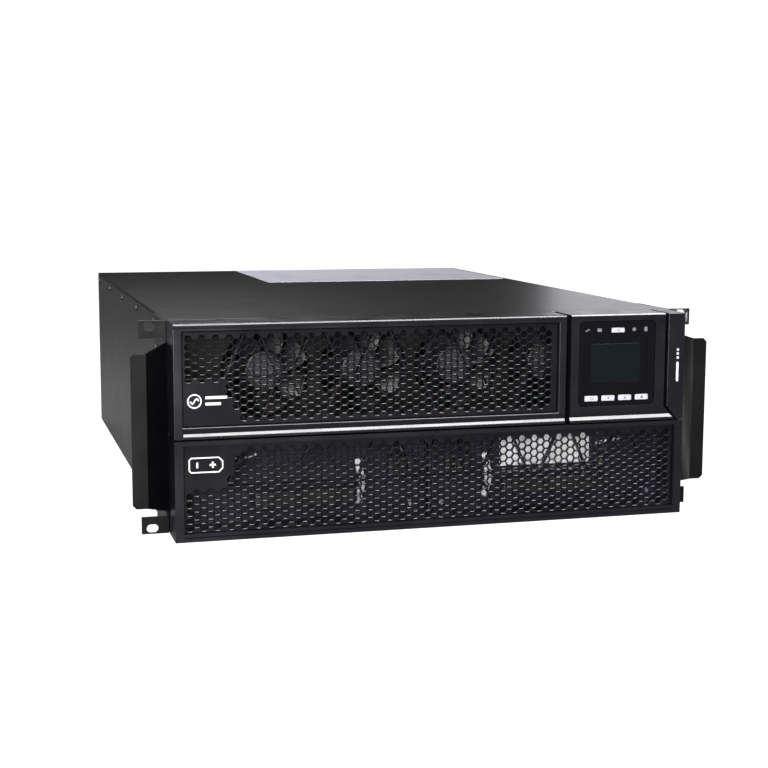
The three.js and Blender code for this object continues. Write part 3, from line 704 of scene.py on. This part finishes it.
def liquid_crystal():
    face = GLASS_LOW.y + 0.75
    cell = Piece().box(LCD_LOW.x + 0.2, LCD_HIGH.x + 0.6, face, LCD_HIGH.y,
                       LCD_LOW.z - 0.4, LCD_HIGH.z + 1.4, 0.2)
    cell.finish("lcd_cell", display_gloss, ROOT, "display_gloss", ("lcd_module",))
    active = rounded(LCD_LOW.x + 7, LCD_HIGH.x - 6, LCD_LOW.z + 5, LCD_HIGH.z - 5, 0.8, 3)
    area = Piece().plate(active, face - 0.08, face, rim=0.03, steps=1)
    area.finish("lcd_active_area", lcd_surface, ROOT, "lcd_surface")


def key(node):
    low, high = box_mm(node)
    x0, x1, z0, z1 = cap_box(node)
    front = low.y + 0.05
    piece = Piece().plate(rounded(x0, x1, z0, z1, 0.9, 4), front, high.y, (), "Y", 0.45, 0, 3)
    collar = low.y + 2.05
    piece.plate(rounded(low.x, high.x, low.z, high.z, 0.6, 2), collar, collar + 1)
    piece.finish(node + "_cap", key_plastic, node_body[node], slots[node], (node,))
    return (x0 + x1) / 2, (z0 + z1) / 2, front


def triangle(cx, cz, size, up):
    """A small triangle that points up for 1 and down for -1, anticlockwise."""
    base = cz - up * size * 0.7
    return [(cx - size, base), (cx + size, base), (cx, cz + up * size)][::up]


def key_glyphs():
    """Small generic glyphs: a ring, down, up and a square on the keys, and a ring on power."""
    for number, node in enumerate(KEYS):
        cx, cz, face = key(node)
        shapes = [
            [(ring(cx, cz, 1.3, 20), [ring(cx, cz, 0.8, 20)])],
            [triangle(cx, cz, 1.3, -1)],
            [triangle(cx, cz, 1.3, 1)],
            [rounded(cx - 1.1, cx + 1.1, cz - 1.1, cz + 1.1, 0.3, 2)],
            [(ring(cx, cz, 1.2, 20), [ring(cx, cz, 0.8, 20)])],
        ][number]
        printed(node + "_glyph", face, shapes, print_grey, node_body[node], "button_plastic")


def indicators():
    """Four unlit symbols in the glass: a wave, a battery, a warning dot and a plug."""
    z = (PIP_LOW.z + PIP_HIGH.z) / 2 - 1.25
    step = (PIP_HIGH.x - PIP_LOW.x) / 59
    wave_x, battery_x, dot_x, plug_x = (PIP_LOW.x + step * k for k in (2.7, 13.5, 45.2, 56))
    wave = stroke([(wave_x + 0.3 * k, z + 0.8 * math.sin(k * math.pi / 6)) for k in range(-6, 7)], 0.8)
    battery = rounded(battery_x - 1.9, battery_x + 1.9, z - 1.5, z + 1.5, 0.6, 3)
    dot = ring(dot_x, z, 1.7, 6)
    plug = rounded(plug_x - 1.4, plug_x + 1.4, z - 1.9, z + 1.9, 0.7, 3)
    printed("indicator_symbols", GLASS_LOW.y, [wave, battery, dot, plug], print_grey, ROOT, "light_pipe")


display_window()
liquid_crystal()
key_glyphs()
indicators()


def paint(look, *nodes):
    """Gives carried-over CAD nodes a finished material."""
    for node in nodes:
        data = frame["nodes"][node].data
        data.materials.clear()
        data.materials.append(look)


paint(circuit_board, "display_board", "power_board", "control_board")
paint(key_plastic, "indicator_light_pipe")
paint(zinc_sheet, "bay_shelf")
refine("bay_divider", case_paint, 0.3)
refine("heatsink_left", heatsink_alloy, 0.3)
refine("heatsink_right", heatsink_alloy, 0.3)

# ------------------------------------------------------------------ fans
FANS = range(1, 5)
FAN_LOW, FAN_HIGH = box_mm("fan_frame_1")
FAN_SIZE = FAN_HIGH.x - FAN_LOW.x
FAN_BORE = 37.5
HUB = 17.0
ROTOR = 36.0
FAN_DEPTH = FAN_HIGH.y - FAN_LOW.y


def fan_centre(number):
    low, high = box_mm(f"fan_frame_{number}")
    return (low.x + high.x) / 2, (low.z + high.z) / 2, low.y


def bulkhead():
    """The sheet that carries the fans. Their bores run out through its top edge."""
    low, high = box_mm("fan_bulkhead")
    outline = [(low.x, low.z), (high.x, low.z), (high.x, high.z)]
    steps = 40
    for number in reversed(FANS):
        cx, cz, _ = fan_centre(number)
        start = math.asin((high.z - cz) / FAN_BORE)
        turn = (math.pi + 2 * start) / steps
        angles = [start - turn * k for k in range(steps + 1)]
        outline += [(cx + FAN_BORE * math.cos(a), cz + FAN_BORE * math.sin(a)) for a in angles]
    outline.append((low.x, high.z))
    piece = Piece().plate(outline, low.y, high.y, rim=0.2)
    piece.finish("fan_bulkhead_sheet", case_paint, ROOT, "case_paint", ("fan_bulkhead",))
    reach = FAN_SIZE / 2 - 4.5
    centres = [fan_centre(number) for number in FANS]
    corners = [(a * reach, b * reach) for a in (-1, 1) for b in (-1, 1)]
    places = [(cx + a, low.y, cz + b) for cx, cz, _ in centres for a, b in corners]
    screws("fan_screws", places, "Y", -1, 2.3)


def fan_frame(number):
    cx, cz, front = fan_centre(number)
    half = FAN_SIZE / 2
    outline = rounded(cx - half, cx + half, cz - half, cz + half, 4, 4)
    back = front + FAN_DEPTH
    bore = ring(cx, cz, FAN_BORE, 48)
    piece = Piece().plate(outline, front, front + 4, [bore], rim=0.6)
    piece.plate(outline, back - 4, back, [bore], back=0.6)
    piece.plate(ring(cx, cz, FAN_BORE + 2.2, 48), front + 3.5, back - 3.5, [bore])
    for k in range(4):
        angle = math.pi / 4 + k * math.pi / 2
        ends = [(cx + r * math.cos(angle), cz + r * math.sin(angle)) for r in (HUB - 2, FAN_BORE + 1)]
        piece.plate(stroke(ends, 3), back - 4, back, rim=0.5, back=0.5)
    piece.lathe((cx, back, cz), "Y", [(0, -4), (HUB, -4), (HUB, -0.5), (HUB - 0.5, 0), (0, 0)], 40)
    node = f"fan_frame_{number}"
    return piece.finish(node + "_moulding", fan_plastic, ROOT, "fan_plastic", (node,))


def blade(piece, cx, cz, front, turn):
    """One swept and twisted blade, lofted from the hub out to the tip."""
    loops = []
    for k in range(6):
        t = k / 5
        radius = HUB - 1 + (ROTOR - HUB + 1) * t
        chord = math.radians(46 - 8 * t)
        thick = (1.9 - 0.9 * t) / radius
        upper, under = [], []
        for m in range(7):
            s = m / 6
            angle = turn + math.radians(16) * t * t + chord * (s + 0.1 * math.sin(math.pi * s))
            depth = front + 3.2 + 14.5 * s
            half = thick * (0.25 + 0.75 * math.sin(math.pi * (0.08 + 0.84 * s))) / 2
            upper.append((cx + radius * math.cos(angle + half), depth, cz + radius * math.sin(angle + half)))
            under.append((cx + radius * math.cos(angle - half), depth, cz + radius * math.sin(angle - half)))
        loops.append(upper + under[::-1])
    piece.loft(loops)


def fan_rotor(number):
    cx, cz, front = fan_centre(number)
    back = FAN_DEPTH - 5
    profile = [(0, 2), (HUB - 2.5, 2), (HUB - 0.7, 2.7), (HUB, 4.5)]
    profile += [(HUB, back - 0.4), (HUB - 0.4, back), (0, back)]
    piece = Piece().lathe((cx, front, cz), "Y", profile, 48)
    for k in range(7):
        blade(piece, cx, cz, front, 2 * math.pi * k / 7)
    node = f"fan_rotor_{number}"
    piece.finish(node + "_moulding", fan_plastic, node_body[node], "fan_plastic", (node,))
    disc = Piece().plate(ring(cx, cz, HUB - 4, 36), front + 1.85, front + 2.05, rim=0.08, steps=1)
    disc.finish(f"fan_hub_label_{number}", hub_film, node_body[node], "label_film")


bulkhead()
for number in FANS:
    fan_frame(number)
    fan_rotor(number)

# ------------------------------------------------------------------ battery modules


def module_front(side, sign):
    """A raised rim, stiffening beads, screws and white ties on a module's face."""
    body = f"battery_{side}"
    low, high = box_mm(f"battery_case_{side}")
    face = low.y
    x0, x1, z0, z1 = low.x + 3, high.x - 3, low.z + 3, high.z - 3
    rim = Piece().plate(rounded(x0, x1, z0, z1, 3, 4), face - 1.2, face + 1,
                        [rounded(x0 + 3, x1 - 3, z0 + 3, z1 - 3, 2, 4)], rim=0.6)
    for row in (0, 1):
        z = z0 + 7.5 + 3.2 * row
        rim.plate(rounded(x0 + 70, x1 - 78, z, z + 1.8, 0.6, 3), face - 0.7, face + 1, rim=0.3)
    rim.finish(f"battery_rim_{side}", battery_shell, body, "battery_shell")
    corners = [(x, face, z) for x in (x0 + 9, x1 - 9) for z in (z0 + 8, z1 - 8)]
    screws(f"battery_screws_{side}", corners, "Y", -1, 2.4, zinc_sheet, body, "zinc_sheet")
    ties = Piece()
    middle = (x0 + x1) / 2 + sign * 54
    for k in range(2):
        x = middle + 14 * k - 8
        ties.plate(stroke([(x, 57 + 2 * k), (x + 10, 60 + 2 * k)], 2.0), face - 1.6, face, rim=0.4)
    ties.finish(f"battery_ties_{side}", strap_plastic, body, "white_strap")


def lead(side, sign):
    """The short pair of leads from a module's plug back into its face."""
    low, high = box_mm(f"battery_plug_{side}")
    face = box_mm(f"battery_case_{side}")[0].y
    piece = Piece()
    for k in (0, 1):
        x = (low.x + high.x) / 2 + (k * 8 - 4)
        z = high.z - 4
        points = []
        for i in range(13):
            t = i / 12
            turn = math.pi * t
            rise = 12 * (1 - math.cos(turn)) / 2 + 3 * t
            points.append((x + sign * 6 * t, face - 1 - 7 * math.sin(turn), z + rise))
        piece.sweep(points, 1.7)
    piece.finish(f"battery_leads_{side}", black_moulding, f"battery_{side}", "black_moulding")


for side, sign in (("left", -1), ("right", 1)):
    refine(f"battery_case_{side}", battery_shell, 1.2, 3)
    refine(f"battery_handle_{side}", black_moulding, 1.0, 3)
    refine(f"battery_plug_{side}", black_moulding, 0.5)
    refine(f"battery_pull_tab_{side}", strap_plastic, 0.25, 2, 60)
    module_front(side, sign)
    lead(side, sign)
LABEL_LOW, LABEL_HIGH = box_mm("battery_label")
sticker = Piece().plate(rounded(LABEL_LOW.x, LABEL_HIGH.x, LABEL_LOW.z, LABEL_HIGH.z, 1.5, 4),
                        LABEL_LOW.y, LABEL_HIGH.y, rim=0.1, steps=1)
sticker.finish("battery_sticker", battery_film, "battery_right", "label_film", ("battery_label",))

# ------------------------------------------------------------------ electronics bay


def can(node):
    """A capacitor: sleeved can with a rolled rim and a shallow recess in its top."""
    low, high = box_mm(node)
    cx, cy, radius = (low.x + high.x) / 2, (low.y + high.y) / 2, (high.x - low.x) / 2
    tall = high.z - low.z
    profile = [(0, 0), (radius - 0.8, 0), (radius, 0.8), (radius, 3), (radius - 0.8, 4), (radius, 5)]
    profile += [(radius, tall - 1), (radius - 1, tall), (radius - 2.5, tall)]
    profile += [(radius - 3, tall - 0.8), (0, tall - 0.8)]
    piece = Piece().lathe((cx, cy, low.z), "Z", profile, 40)
    piece.finish(node + "_can", capacitor_sleeve, ROOT, "capacitor_sleeve", (node,))


def toroid():
    """The output choke: a core wound with separate turns of thick wire."""
    low, high = box_mm("output_inductor")
    cx, cy, cz = ((low[i] + high[i]) / 2 for i in range(3))
    outer, tall = (high.x - low.x) / 2, high.z - low.z
    inner, wire, turns = 12.0, 1.3, 36
    mean, thick = (outer + inner) / 2, (outer - inner) / 2 - 2 * wire
    piece = Piece()
    points = []
    for k in range(turns * 12 + 1):
        around, along = 2 * math.pi * k / 12, 2 * math.pi * k / (turns * 12)
        radius = mean + (thick + wire) * math.copysign(abs(math.cos(around)) ** 0.6, math.cos(around))
        height = (tall / 2 - wire) * math.copysign(abs(math.sin(around)) ** 0.6, math.sin(around))
        points.append((cx + radius * math.cos(along * 0.98), cy + radius * math.sin(along * 0.98), cz + height))
    piece.sweep(points, wire, 6)
    piece.finish("output_choke_winding", copper_winding, ROOT, "copper_winding", ("output_inductor",))
    core = Piece().plate(ring(cx, cy, mean + thick, 40), low.z + 2.6, high.z - 2.6,
                         [ring(cx, cy, mean - thick, 40)], "Z", 1, 1)
    core.finish("output_choke_core", grey_moulding, ROOT, "grey_moulding")


for number in range(1, 4):
    can(f"dc_capacitor_{number}")
toroid()

# ------------------------------------------------------------------ rear
PANEL = box_mm("rear_panel")[1].y
paint(case_paint, "rear_panel")


def outlets(node, columns, rows, width, height, spread, label):
    """Appliance outlets in a rack: a face with deep wells, each with a core and three slots."""
    low, high = box_mm(node)
    face = high.y
    x0, x1, z0, z1 = low.x + 3, high.x - 3, low.z + 3, high.z - 3
    centres = [(x0 + (c + 0.5) * (x1 - x0) / columns, z0 + (r + 0.5) * (z1 - z0) / rows)
               for c in range(columns) for r in range(rows)]
    w, h = width / 2, height / 2

    def well(cx, cz, more):
        """The outline of an outlet's core, larger all round by more, with two cut corners."""
        cut = 3.0
        left, right, top = cx - w - more, cx + w + more, cz + h + more
        bottom = cz - h - more
        return [(left, bottom), (right, bottom), (right, top - cut),
                (right - cut, top), (left + cut, top), (left, top - cut)]

    holes = [well(cx, cz, 2) for cx, cz in centres]
    piece = Piece().plate(rounded(low.x, high.x, low.z, high.z, 2.5, 4), PANEL + 0.3, face, holes, back=0.5)
    body = [(x0 + 0.3, z0 + 0.3), (x1 - 0.3, z0 + 0.3), (x1 - 0.3, z1 - 0.3), (x0 + 0.3, z1 - 0.3)]
    piece.plate(body, face - 13, PANEL + 0.6, holes)
    piece.plate(body, low.y, face - 12.5)
    for cx, cz in centres:
        slots_of = [rounded(cx + dx - 1.1, cx + dx + 1.1, cz + dz - 2.8, cz + dz + 2.8, 0.4, 2)
                    for dx, dz in ((-spread, -1.5), (0, 2.6), (spread, -1.5))]
        piece.plate(well(cx, cz, -0.1), face - 13, face - 0.6, slots_of, back=0.4)
    piece.finish(label, black_moulding, ROOT, "black_moulding", (node,))


outlets("outlet_bank_c13", 3, 2, 20, 14, 6.5, "outlets_small")
outlets("outlet_bank_c19", 2, 2, 24, 17, 7.5, "outlets_large")
refine("terminal_cover", case_paint, 0.8, 3)
TERM_LOW, TERM_HIGH = box_mm("terminal_cover")
screws("terminal_cover_screws", [(x, TERM_HIGH.y, z) for x in (TERM_LOW.x + 6, TERM_HIGH.x - 6)
                                 for z in (TERM_LOW.z + 6, TERM_HIGH.z - 6)], "Y", 1, 2.8)


def gland():
    low, high = box_mm("cable_gland")
    cx, cz = (low.x + high.x) / 2, (low.z + high.z) / 2
    nut = TERM_HIGH.y + 0.3
    hexagon = ring(cx, cz, (high.x - low.x) / 2 - 0.1, 6)
    bore = ring(cx, cz, 7, 32)
    piece = Piece().plate(hexagon, nut, high.y - 0.4, [bore], back=0.6)
    piece.plate(ring(cx, cz, 9, 32), low.y, high.y, [bore], back=0.7)
    for k in range(3):
        outer = high.y - 1.2 - 2.4 * k
        piece.plate(ring(cx, cz, 7.2, 32), outer - 1.2, outer, [ring(cx, cz, 5.6, 32)], rim=0.3, back=0.3)
    piece.finish("cable_gland_fitting", black_moulding, ROOT, "black_moulding", ("cable_gland",))


gland()
BREAKER_LOW, BREAKER_HIGH = box_mm("input_breaker")
BUTTON_LOW, BUTTON_HIGH = box_mm("breaker_button")
reset_x, reset_z = (BUTTON_LOW.x + BUTTON_HIGH.x) / 2, (BUTTON_LOW.z + BUTTON_HIGH.z) / 2
breaker = Piece().plate(rounded(BREAKER_LOW.x, BREAKER_HIGH.x, BREAKER_LOW.z, BREAKER_HIGH.z, 2, 4),
                        PANEL + 0.3, BREAKER_HIGH.y, [ring(reset_x, reset_z, 5.2, 32)], back=0.5)
WALL = 2.3
BREAKER_BODY = rounded(BREAKER_LOW.x + WALL, BREAKER_HIGH.x - WALL,
                       BREAKER_LOW.z + WALL, BREAKER_HIGH.z - WALL, 1, 2)
breaker.plate(BREAKER_BODY,
              BREAKER_LOW.y, PANEL + 0.6, [ring(reset_x, reset_z, 5.2, 32)])
breaker.finish("breaker_housing", black_moulding, ROOT, "black_moulding", ("input_breaker",))
cap = [(0, 0), (4.8, 0), (4.8, 15.4), (4.2, 16.4), (3, 17), (0, 17)]
Piece().lathe((reset_x, BUTTON_LOW.y, reset_z), "Y", cap, 36).finish(
    "breaker_reset_cap", key_plastic, "breaker_button", "button_plastic", ("breaker_button",))

refine("network_card", case_paint, 0.3)


def port_panel():
    """Network and square sockets and a small green terminal block."""
    low, high = box_mm("port_plate")
    x0, z = low.x + 3, (low.z + high.z) / 2
    plate_back, plate_front = PANEL + 0.3, PANEL + 1.8
    jacks = [rounded(x0 + 8, x0 + 20, z - 4, z + 4, 0.5, 2),
             rounded(x0 + 32.5, x0 + 41.5, z - 4, z + 4, 0.8, 2)]
    face = Piece().plate(rounded(low.x, high.x, low.z, high.z, 2, 4), plate_back, plate_front, jacks, back=0.3)
    face.box(low.x + 4, high.x - 4, low.y, low.y + 3, low.z + 3, high.z - 3)
    for jack in jacks:
        face.plate(offset(jack, 1), low.y + 2, plate_back + 0.2, [jack])
    face.finish("port_panel_plate", case_paint, ROOT, "case_paint", ("port_plate",))
    contacts = Piece()
    for k in range(8):
        x = x0 + 10 + 1.15 * k
        contacts.box(x, x + 0.5, low.y + 4, PANEL - 1, z + 2.6, z + 3.0)
    contacts.finish("port_contacts", brass_metal, ROOT, "brass")
    bx0, bx1 = x0 + 56, x0 + 78
    wells = [ring(bx0 + 4 + 7 * k, z, 2.0, 20) for k in range(3)]
    block = Piece().plate(rounded(bx0, bx1, z - 6, z + 6, 0.8, 3), PANEL + 1.5, PANEL + 7, wells, back=0.4)
    block.plate(rounded(bx0 + 0.5, bx1 - 0.5, z - 5, z + 5, 0.5, 2), PANEL + 1.2, PANEL + 4)
    block.finish("port_terminal_block", circuit_board, ROOT, "circuit_board")


port_panel()
refine("external_battery_socket", grey_moulding, 0.5)
refine("ground_stud", brass_metal, 0.3)
edge_x, edge_low, edge_high = SIDE - 8, 6, 168
around = [(x, PANEL, z) for x in (-edge_x, -edge_x / 3, edge_x / 3, edge_x) for z in (edge_low, edge_high)]
around += [(-edge_x, PANEL, 88), (edge_x, PANEL, 88)]
screws("rear_panel_screws", around, "Y", 1, 2.4)

LABEL_TOP_LOW, LABEL_TOP_HIGH = box_mm("top_label")
film = Piece().plate(
    rounded(LABEL_TOP_LOW.x, LABEL_TOP_HIGH.x, LABEL_TOP_LOW.y, LABEL_TOP_HIGH.y, 3, 5),
    LABEL_TOP_LOW.z, LABEL_TOP_HIGH.z, (), "Z", 0, 0.1, 1)
film.finish("top_label_sheet", top_film, ROOT, "label_film", ("top_label",))

# ------------------------------------------------------------------ stage, light and camera


def card(name, look, outline):
    mesh = bpy.data.meshes.new(name)
    mesh.from_pydata(outline, [], [tuple(range(len(outline)))])
    mesh.materials.append(look)
    made = bpy.data.objects.new(name, mesh)
    bpy.context.scene.collection.objects.link(made)
    return made


def studio_floor():
    """A pale floor: white to the camera, so that no horizon shows, and dimmer in reflections."""
    look = Look("floor", (0.3, 0.3, 0.3), 0.9, Specular_IOR_Level=0.0)
    look.set("Emission Color", (1.0, 1.0, 1.0, 1.0))
    look.link(look.ramp(look.noise(2, 2), [(0.3, (0.29, 0.29, 0.29)), (0.7, (0.31, 0.31, 0.31))]),
              look.shader.inputs["Base Color"])
    rays = look.node("ShaderNodeLightPath")
    glow = look.node("ShaderNodeMapRange")
    glow.inputs["To Min"].default_value = FLOOR_GLOW
    glow.inputs["To Max"].default_value = 1.1
    look.link(rays.outputs["Is Camera Ray"], glow.inputs["Value"])
    look.link(glow.outputs["Result"], look.shader.inputs["Emission Strength"])
    card("floor", look.material, [(-20, -20, 0), (20, -20, 0), (20, 20, 0), (-20, 20, 0)])


def studio_world():
    """White where the camera looks past the floor, dim for light and reflections."""
    world = bpy.data.worlds.new("studio")
    world.use_nodes = True
    tree = world.node_tree
    dim = tree.nodes["Background"]
    dim.inputs["Color"].default_value = WORLD_TINT
    dim.inputs["Strength"].default_value = WORLD_DIM
    white = tree.nodes.new("ShaderNodeBackground")
    white.inputs["Color"].default_value = (1, 1, 1, 1)
    white.inputs["Strength"].default_value = 1.05
    rays = tree.nodes.new("ShaderNodeLightPath")
    mix = tree.nodes.new("ShaderNodeMixShader")
    tree.links.new(rays.outputs["Is Camera Ray"], mix.inputs["Fac"])
    tree.links.new(dim.outputs["Background"], mix.inputs[1])
    tree.links.new(white.outputs["Background"], mix.inputs[2])
    tree.links.new(mix.outputs["Shader"], tree.nodes["World Output"].inputs["Surface"])
    bpy.context.scene.world = world


def softbox(name, place, target, width, height, radiance, color=(1, 1, 1), diffuse=True):
    """An area light of a given brightness that the camera doesn't see.

    Without diffuse it only makes highlights, so it doesn't light the floor.
    """
    data = bpy.data.lights.new(name, "AREA")
    data.shape = "RECTANGLE"
    data.size = width
    data.size_y = height
    data.energy = radiance * math.pi * width * height
    data.color = color
    made = bpy.data.objects.new(name, data)
    made.location = place
    made.rotation_euler = (Vector(target) - Vector(place)).to_track_quat("-Z", "Y").to_euler()
    made.visible_camera = False
    made.visible_diffuse = diffuse
    bpy.context.scene.collection.objects.link(made)
    return made


FLOOR_GLOW = 0.12
WORLD_DIM = 0.018
WORLD_TINT = (0.9, 0.95, 1.0, 1.0)
studio_floor()
studio_world()
softbox("overhead", (0.4, -0.45, 1.75), (0.4, -0.4, 0.0), 1.9, 0.6, 30, diffuse=False)
softbox("front_right", (0.6, -1.75, 1.75), (0.15, -0.3, 0.1), 1.9, 0.9, 30, diffuse=False)
softbox("back_right", (2.1, 2.25, 0.5), (0.15, 0.0, 0.17), 1.9, 1.2, 1.5, (0.95, 0.94, 1.0), diffuse=False)
softbox("front_left", (-1.3, -2.75, 0.62), (0.0, -0.3, 0.09), 1.3, 0.8, 42)
softbox("label_fill", (-0.1, 0.6, 0.95), (0.0, 0.15, 0.17), 0.4, 0.3, 15, (0.97, 0.96, 1.0))
softbox("left_side", (-2.2, -0.6, 0.9), (-0.2, -0.2, 0.1), 0.8, 1.2, 2.0)

camera_data = bpy.data.cameras.new("camera")
camera_data.sensor_width = 36.0
camera_data.lens = 70.9
camera_data.clip_start = 0.05
camera = bpy.data.objects.new("camera", camera_data)
camera.location = (-0.3775, -1.4919, 0.2903)
camera.rotation_euler = [math.radians(angle) for angle in (82.093, -0.196, -15.700)]
bpy.context.scene.collection.objects.link(camera)
bpy.context.scene.camera = camera
bpy.context.scene.view_settings.view_transform = "Standard"
